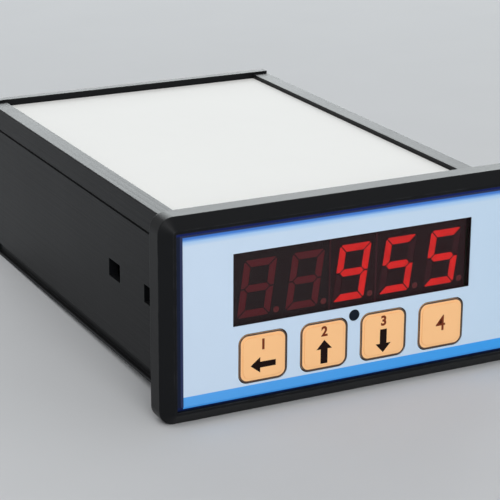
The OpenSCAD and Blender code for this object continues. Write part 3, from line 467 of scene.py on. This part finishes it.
BLACK = srgb(17, 18, 20)
FINISHES = {
    "bezel_plastic": moulded("bezel_black", BLACK, rough=0.36, rub=0.3, dust_and_sheen=0.02, soften=0.0003,
                             Specular_IOR_Level=0.12),
    "case_plastic": moulded("case_black", BLACK, rough=0.38, rub=0.2, dust_and_sheen=0.02, lines=6.0,
                            Specular_IOR_Level=0.12),
    "steel_screws": metal("screw_zinc", (0.62, 0.62, 0.61, 1), rough=0.32),
    "label_film": moulded("label_white", srgb(241, 241, 238), rough=0.75, grain=0.08, scale=1400.0,
                          drift=0.025, Specular_IOR_Level=0.1),
    "overlay_film": film_finish(),
    "smoked_filter": filter_finish(),
    "key_film": key_finish(),
    "plunger_plastic": moulded("plunger_ivory", srgb(222, 220, 210)),
    "stem_plastic": moulded("stem_black", srgb(30, 30, 31)),
    "switch_plastic": moulded("switch_black", srgb(38, 38, 40), rough=0.5),
    "board_laminate": board_finish(),
    "module_plastic": module_finish(),
    "segment_resin": moulded("segment_dark_red", srgb(150, 58, 66), rough=0.35, grain=0.05),
    "diode_resin": moulded("diode_clear", srgb(232, 226, 190), rough=0.25),
    "header_pins": part_metal("pin_strip", srgb(26, 26, 27), pins_mask),
    "chip_epoxy": part_metal("chip_black", srgb(34, 34, 36), legs_mask, rough=0.55),
    "can_steel": metal("can_tinned", (0.66, 0.67, 0.68, 1), rough=0.28),
    "ferrite": moulded("ferrite_grey", srgb(62, 62, 66), rough=0.6, scale=1200.0, grain=0.5),
    "winding_tape": moulded("tape_yellow", srgb(226, 184, 40), rough=0.3),
    "capacitor_sleeve": part_metal("sleeve_blue", srgb(24, 30, 72), can_top_mask, rough=0.3),
    "fuse_glass": part_metal("fuse_tube", srgb(214, 224, 224), caps_mask, rough=0.25),
    "plated_brass": metal("brass_tinned", (0.74, 0.68, 0.5, 1), rough=0.3),
    "relay_plastic": moulded("relay_orange", srgb(226, 112, 34), rough=0.4),
    "sink_aluminium": metal("sink_black", (0.05, 0.05, 0.055, 1), rough=0.45, metallic=0.6),
    "terminal_plastic": moulded("terminal_green", srgb(46, 128, 72), rough=0.42, scale=1500.0, rub=0.2,
                                rub_and_highlight_colour=(0.16, 0.4, 0.22, 1)),
}
for part in frame["record"]["subparts"]:
    mesh = nodes[part["node"]].data
    mesh.materials.clear()
    mesh.materials.append(FINISHES[part["material_slot"]])

INK_DARK = moulded("ink_dark", srgb(24, 9, 7), rough=0.5, grain=0.05, soften=0.0, Specular_IOR_Level=0.1)
INK_BROWN = moulded("ink_brown", srgb(116, 50, 24), rough=0.5, grain=0.05, soften=0.0,
                    Specular_IOR_Level=0.15)
INK_OUTLINE = moulded("ink_outline", srgb(78, 58, 48), rough=0.4, grain=0.05, soften=0.0)
INK_WHITE = moulded("ink_white", srgb(226, 228, 228), rough=0.45, grain=0.05, soften=0.0)
LENS_NAVY = moulded("lens_navy", srgb(12, 20, 34), rough=0.22, grain=0.02, soften=0.0001,
                    Specular_IOR_Level=0.15)
BORDER_AND_RECESS_SHADE = border_finish()
POINT_DIM = moulded("point_dim", srgb(164, 76, 78), rough=0.35, grain=0.05)
SEGMENT_IDLE = moulded("segment_idle", srgb(92, 44, 52), rough=0.35, grain=0.05)
SEGMENT_CORE = lit_finish("segment_core", (1.0, 0.022, 0.02, 1), 1.06)
SEGMENT_RIM = lit_finish("segment_rim", (1.0, 0.012, 0.012, 1), 0.42)
# Darker rim of the faint strokes, around a paler core that paints a faint glow.
SEGMENT_GLOW_RIM = moulded("segment_glow_rim", srgb(84, 40, 46), rough=0.35, grain=0.05)
nodes["status_lens"].data.materials.clear()
nodes["status_lens"].data.materials.append(LENS_NAVY)


# Meshes

def finish_piece(name, mesh, material, body):
    """Object of a mesh with its material, riding on a body."""
    mesh.materials.append(material)
    piece = bpy.data.objects.new(name, mesh)
    bpy.context.scene.collection.objects.link(piece)
    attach(piece, body)
    return piece


def raise_outline(bm, points, front, back, bevel=0.0, core=0.0):
    """Prism on an outline of (x, z) points in metres, between two depths, its front edge bevelled.

    With a core, the front face keeps material 0 that far in from its edge and the rest takes material 1.
    """
    rows = [[bm.verts.new((x, y, z)) for x, z in points] for y in (front, back)]
    fore = bm.faces.new(rows[0])
    rest = [bm.faces.new(list(reversed(rows[1])))]
    count = len(points)
    for i in range(count):
        j = (i + 1) % count
        rest.append(bm.faces.new((rows[0][j], rows[0][i], rows[1][i], rows[1][j])))
    if core:
        rest += bmesh.ops.inset_region(bm, faces=[fore], thickness=core)["faces"]
        for face in rest:
            face.material_index = 1
    elif bevel:
        bmesh.ops.bevel(bm, geom=list(fore.edges), offset=bevel, segments=2, affect="EDGES", profile=0.6)


def mesh_of(name, bm):
    """Mesh datablock of a bmesh, with outward normals."""
    bmesh.ops.recalc_face_normals(bm, faces=bm.faces)
    mesh = bpy.data.meshes.new(name)
    bm.to_mesh(mesh)
    bm.free()
    return mesh


def stroke_outlines(height):
    """Outlines of the seven mitred strokes, a to g, of a leaning digit, in millimetres from its middle."""
    w, h, stroke, gap, cut = DIGIT_W / 2, height / 2, STROKE_W, STROKE_GAP, CORNER_CUT
    level = [(cut - w, h), (w - cut, h), (w - (cut + gap) / 2, h - (cut - gap) / 2),
             (w - stroke - gap, h - stroke), (stroke + gap - w, h - stroke),
             ((cut + gap) / 2 - w, h - (cut - gap) / 2)]
    upright = [(w, h - cut), (w, gap), (w - stroke / 2, gap), (w - stroke, stroke / 2 + gap),
               (w - stroke, h - stroke - gap), (w - (cut - gap) / 2, h - (cut + gap) / 2)]
    middle = [(stroke / 2 + gap - w, 0), (stroke + gap - w, stroke / 2), (w - stroke - gap, stroke / 2),
              (w - stroke / 2 - gap, 0), (w - stroke - gap, -stroke / 2), (stroke + gap - w, -stroke / 2)]
    flips = {"a": (level, 1, 1), "b": (upright, 1, 1), "c": (upright, 1, -1), "d": (level, 1, -1),
             "e": (upright, -1, -1), "f": (upright, -1, 1), "g": (middle, 1, 1)}
    return {stroke_name: [(sx * px + sz * pz * DIGIT_LEAN - DIGIT_SHIFT, sz * pz) for px, pz in points]
            for stroke_name, (points, sx, sz) in flips.items()}


def circle_outline(diameter, x=0.0, z=0.0, count=28):
    """Points of a circle about (x, z)."""
    return [(x + diameter / 2 * math.cos(2 * math.pi * k / count),
             z + diameter / 2 * math.sin(2 * math.pi * k / count)) for k in range(count)]


LIT_STROKES = {0: "", 1: "", 2: "abcdfg", 3: "acdfg", 4: "acdfg"}
MODULES = {"left": (0, 1), "middle": (2,), "right": (3, 4)}
# Strokes whose face is brighter inside: width of the rim, and its finish. On the lit strokes it is their
# own glow, on the faint strokes a painted faint glow.
STROKE_RIMS = {"lit": (0.32 * MM, SEGMENT_RIM), "faint": (0.4 * MM, SEGMENT_GLOW_RIM)}


def build_digits():
    """Strokes and points of each module, in the CAD's pockets: lit, faint with a painted glow, idle and the
    dim points.
    """
    looks = {"lit": SEGMENT_CORE, "faint": FINISHES["segment_resin"], "idle": SEGMENT_IDLE,
             "points": POINT_DIM}
    for module, digits in MODULES.items():
        node = "segments_" + module
        low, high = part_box(node)
        height = (high.z - low.z) / MM
        middle = (high.z + low.z) / 2
        shapes = {kind: [] for kind in looks}
        for digit in digits:
            x = (digit - 2) * DIGIT_PITCH
            for stroke, outline in stroke_outlines(height).items():
                # Strokes of the blank digits are faint: their paler core and darker rim paint a faint glow.
                unlit = "idle" if LIT_STROKES[digit] else "faint"
                kind = "lit" if stroke in LIT_STROKES[digit] else unlit
                shapes[kind].append([(x + px, pz) for px, pz in outline])
            shapes["points"].append(circle_outline(POINT_D, x + POINT_OFFSET, -height / 2 + POINT_D / 2))
        for kind, outlines in shapes.items():
            if not outlines:
                continue
            core, rim = STROKE_RIMS.get(kind, (0.0, None))
            bm = bmesh.new()
            for outline in outlines:
                points = [(px * MM, middle + pz * MM) for px, pz in outline]
                raise_outline(bm, points, low.y, high.y, STROKE_BEVEL * MM, core)
            name = "strokes_%s_%s" % (module, kind)
            piece = finish_piece(name, mesh_of(name, bm), looks[kind], "housing")
            if rim:
                piece.data.materials.append(rim)
            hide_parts(node)


def rounded_outline(half_w, half_h, radius, steps=8):
    """Points of a rectangle with round corners, centred on the origin."""
    points = []
    for quarter, (sx, sz) in enumerate(((1, 1), (-1, 1), (-1, -1), (1, -1))):
        for k in range(steps + 1):
            angle = math.radians(90 * quarter + 90 * k / steps)
            points.append((sx * (half_w - radius) + radius * math.cos(angle),
                           sz * (half_h - radius) + radius * math.sin(angle)))
    return points


def ring_mesh(name, outer, inner, centre, front, back):
    """Flat ring between two outlines with as many points, printed at a depth."""
    bm = bmesh.new()
    loops = []
    for outline in (outer, inner):
        for y in (front, back):
            loops.append([bm.verts.new((centre.x + px * MM, y, centre.z + pz * MM)) for px, pz in outline])
    count = len(outer)
    for first, second in ((0, 2), (1, 3), (0, 1), (2, 3)):
        for i in range(count):
            j = (i + 1) % count
            bm.faces.new((loops[first][i], loops[first][j], loops[second][j], loops[second][i]))
    return mesh_of(name, bm)


def build_film_border():
    """Navy ring that fills the recess between the film and the rim: partly printed border, partly painted
    shade of the recess.
    """
    low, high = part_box("overlay")
    half_w, half_h = (high.x - low.x) / 2 / MM, (high.z - low.z) / 2 / MM
    outer = rounded_outline(half_w + BORDER_W, half_h + BORDER_H, 0.3)
    inner = rounded_outline(half_w + BORDER_GAP, half_h + BORDER_GAP, 0.02)
    ring = ring_mesh("film_border_and_recess_shade", outer, inner, (low + high) / 2, low.y, high.y)
    finish_piece("film_border_and_recess_shade", ring, BORDER_AND_RECESS_SHADE, "housing")


def text_mesh(name, body, size, bold):
    """Mesh of a plain numeral, centred, lying in x and z and facing -y."""
    curve = bpy.data.curves.new(name, "FONT")
    curve.body = body
    curve.size = size * MM
    curve.offset = bold * MM
    curve.extrude = INK_T * MM / 2
    curve.align_x = "CENTER"
    curve.align_y = "CENTER"
    holder = bpy.data.objects.new(name, curve)
    bpy.context.scene.collection.objects.link(holder)
    bpy.context.view_layer.update()
    mesh = bpy.data.meshes.new_from_object(holder.evaluated_get(bpy.context.evaluated_depsgraph_get()))
    bpy.data.objects.remove(holder)
    bpy.data.curves.remove(curve)
    mesh.transform(Matrix.Rotation(math.radians(90), 4, "X"))
    mesh.materials.clear()
    return mesh


def arrow_outline(length, head_w, head_l, shaft_w, turn):
    """Arrow centred on the origin, pointing up and then turned by quarter turns."""
    tip, neck = length / 2, length / 2 - head_l
    points = [(0, tip), (-head_w / 2, neck), (-shaft_w / 2, neck), (-shaft_w / 2, -length / 2),
              (shaft_w / 2, -length / 2), (shaft_w / 2, neck), (head_w / 2, neck)]
    angle = math.radians(90 * turn)
    return [(px * math.cos(angle) - pz * math.sin(angle), px * math.sin(angle) + pz * math.cos(angle))
            for px, pz in points]


# Arrows: length, width and length of the head, width of the shaft
ARROW_LEVEL = (6.3, 3.7, 2.4, 1.4)
ARROW_UPRIGHT = (5.7, 4.0, 2.2, 1.8)
NUMERAL_BOLD = 0.13
LONE_NUMERAL_BOLD = 0.03
# Per key: quarter turns of its arrow or None, height of the arrow and of its numeral, numeral size
KEY_SIGNS = {
    1: (1, -1.85, 2.85, 3.4),
    2: (0, -1.55, 3.25, 3.2),
    3: (2, -1.55, 3.25, 3.2),
    4: (None, 0, 0, 5.4),
}


def build_key_prints():
    """Outline, arrow and numeral on each key, riding with it."""
    for number, (turn, arrow_z, numeral_z, size) in KEY_SIGNS.items():
        body = "key_%d_body" % number
        low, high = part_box("key_%d" % number)
        centre = (low + high) / 2
        half_w, half_h = (high.x - low.x) / 2 / MM, (high.z - low.z) / 2 / MM
        shoulder = low.y + KEY_SHOULDER * MM
        outer = rounded_outline(half_w, half_h, KEY_CORNER_R)
        inner = rounded_outline(half_w - OUTLINE_W, half_h - OUTLINE_W, KEY_CORNER_R - OUTLINE_W)
        name = "key_%d_outline" % number
        ring = ring_mesh(name, outer, inner, centre, shoulder - INK_T * MM, shoulder + INK_SINK * MM)
        finish_piece(name, ring, INK_OUTLINE, body)
        if turn is not None:
            bm = bmesh.new()
            length, head_w, head_l, shaft = ARROW_LEVEL if turn == 1 else ARROW_UPRIGHT
            points = [(centre.x + px * MM, centre.z + (arrow_z + pz) * MM)
                      for px, pz in arrow_outline(length, head_w, head_l, shaft, turn)]
            raise_outline(bm, points, low.y - INK_T * MM, low.y + INK_SINK * MM)
            name = "key_%d_arrow" % number
            finish_piece(name, mesh_of(name, bm), INK_DARK, body)
        name = "key_%d_numeral" % number
        mesh = text_mesh(name, str(number), size, LONE_NUMERAL_BOLD if turn is None else NUMERAL_BOLD)
        mesh.transform(Matrix.Translation((centre.x, low.y, centre.z + numeral_z * MM)))
        finish_piece(name, mesh, INK_BROWN, body)


def build_terminal_numbers():
    """Plain pole numbers on the rear cover, beside each terminal block, read from behind."""
    cover_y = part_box("rear_cover")[1].y
    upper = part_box("terminal_block_upper")[0].z - UPPER_NUMBER_DROP * MM
    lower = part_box("terminal_block_lower")[1].z + LOWER_NUMBER_RISE * MM
    for z, first in ((upper, 1), (lower, POLES + 1)):
        for pole in range(POLES):
            x = ((POLES - 1) / 2 - pole) * POLE_PITCH * MM
            name = "pole_number_%02d" % (first + pole)
            mesh = text_mesh(name, str(first + pole), POLE_NUMBER_SIZE, POLE_NUMBER_BOLD)
            mesh.transform(Matrix.Rotation(math.pi, 4, "Z"))
            mesh.transform(Matrix.Translation((x, cover_y, z)))
            finish_piece(name, mesh, INK_WHITE, "housing")


build_film_border()
build_digits()
build_key_prints()
build_terminal_numbers()


# Floor, lights and camera

PALE = (0.62, 0.625, 0.63, 1)
FLOOR_REACH = 6.0
FLOOR_FADE_START = 0.35
FLOOR_FADE_END = 0.85
LABEL_TO_FLANGE = 0.3
# Name, place, point aimed at, width, height, watts and colour
PANEL_LIGHTS = (
    ("rear_panel", (0.62, 1.16, 0.5), (0, 0, 0.03), 1.3, 0.7, 12.2, (0.93, 0.985, 1)),
    ("overhead_panel", (-0.35, -0.25, 1.1), (0, 0, 0.02), 0.9, 0.9, 2.6, (1, 1, 1)),
    ("front_panel", (-0.3, -1.1, 0.55), (0, -0.06, 0.02), 0.8, 0.8, 8.2, (1, 1, 1)),
)


def seen_directly(tree):
    """1 for rays of the camera, of gloss and of clear parts."""
    path = add(tree, "LightPath").outputs
    beyond = maths(tree, "MAXIMUM", path["Is Glossy Ray"], path["Is Transmission Ray"])
    return maths(tree, "MAXIMUM", path["Is Camera Ray"], beyond)


def build_floor():
    """Wide pale floor that touches the bezel's bottom edge and the rear cover's bottom edge."""
    bezel_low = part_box("bezel")[0]
    cover_low, cover_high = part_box("rear_cover")
    flange_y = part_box("top_label")[0].y - LABEL_TO_FLANGE * MM
    slope = (cover_low.z - bezel_low.z) / (cover_high.y - flange_y)
    bm = bmesh.new()
    corners = [(-FLOOR_REACH, -FLOOR_REACH), (FLOOR_REACH, -FLOOR_REACH),
               (FLOOR_REACH, FLOOR_REACH), (-FLOOR_REACH, FLOOR_REACH)]
    bm.faces.new([bm.verts.new((x, y, bezel_low.z + (y - flange_y) * slope)) for x, y in corners])
    mesh = mesh_of("floor", bm)
    material, tree, shader = start_material("floor_pale", Roughness=0.9, Specular_IOR_Level=0.05)
    shared = use(tree, GRAIN, Scale=60.0, Rough=0.75, Tone_Drift=0.02)
    tone = mix(tree, 1.0, (0.62, 0.63, 0.64, 1), shared.outputs["Tone"], "MULTIPLY")
    tree.links.new(tone, shader.inputs["Base Color"])
    away = add(tree, "VectorMath", {"operation": "LENGTH"}, i0=add(tree, "TexCoord").outputs["Object"])
    far = add(tree, "MapRange", i0=away.outputs["Value"], i1=FLOOR_FADE_START, i2=FLOOR_FADE_END,
              i3=0.0, i4=1.0).outputs[0]
    pale = add(tree, "Emission", Color=PALE, Strength=1.0).outputs[0]
    blend = add(tree, "MixShader", i0=maths(tree, "MULTIPLY", far, seen_directly(tree)),
                i1=shader.outputs[0], i2=pale)
    tree.links.new(blend.outputs[0], tree.nodes["Material Output"].inputs["Surface"])
    mesh.materials.append(material)
    floor = bpy.data.objects.new("floor", mesh)
    bpy.context.scene.collection.objects.link(floor)


def build_world():
    """Even light from all around, behind which directly seen rays meet the pale background."""
    world = bpy.data.worlds.new("studio")
    world.use_nodes = True
    tree = world.node_tree
    background = tree.nodes["Background"]
    tone = mix(tree, seen_directly(tree), (0.385, 0.39, 0.4, 1), PALE)
    tree.links.new(tone, background.inputs["Color"])
    background.inputs["Strength"].default_value = 1
    bpy.context.scene.world = world


def add_panel_light(name, place_at, target, width, height, watts, colour):
    """Soft rectangular light aimed at a point, unseen by the camera itself."""
    light = bpy.data.lights.new(name, "AREA")
    light.shape = "RECTANGLE"
    light.size, light.size_y = width, height
    light.energy = watts
    light.color = colour
    holder = bpy.data.objects.new(name, light)
    holder.location = place_at
    holder.rotation_euler = (Vector(target) - Vector(place_at)).to_track_quat("-Z", "Y").to_euler()
    holder.visible_camera = False
    bpy.context.scene.collection.objects.link(holder)


def build_camera():
    """Camera of the photograph's view, in metres in the row frame, fitted to the object's edges in it."""
    camera = bpy.data.cameras.new("photo_view")
    camera.sensor_width = 36
    camera.lens = 136.42
    camera.clip_start = 0.01
    holder = bpy.data.objects.new("photo_view", camera)
    right = Vector((0.892419, -0.451172, 0.005702))
    down = Vector((-0.139547, -0.287997, -0.947409))
    ahead = Vector((0.429087, 0.844690, -0.319974))
    turn = Matrix((right, -down, -ahead)).transposed().to_4x4()
    holder.matrix_world = Matrix.Translation((-0.203537, -0.414926, 0.170275)) @ turn
    bpy.context.scene.collection.objects.link(holder)
    bpy.context.scene.camera = holder


build_floor()
build_world()
for panel_light in PANEL_LIGHTS:
    add_panel_light(*panel_light)
build_camera()
bpy.context.scene.view_settings.view_transform = "Standard"
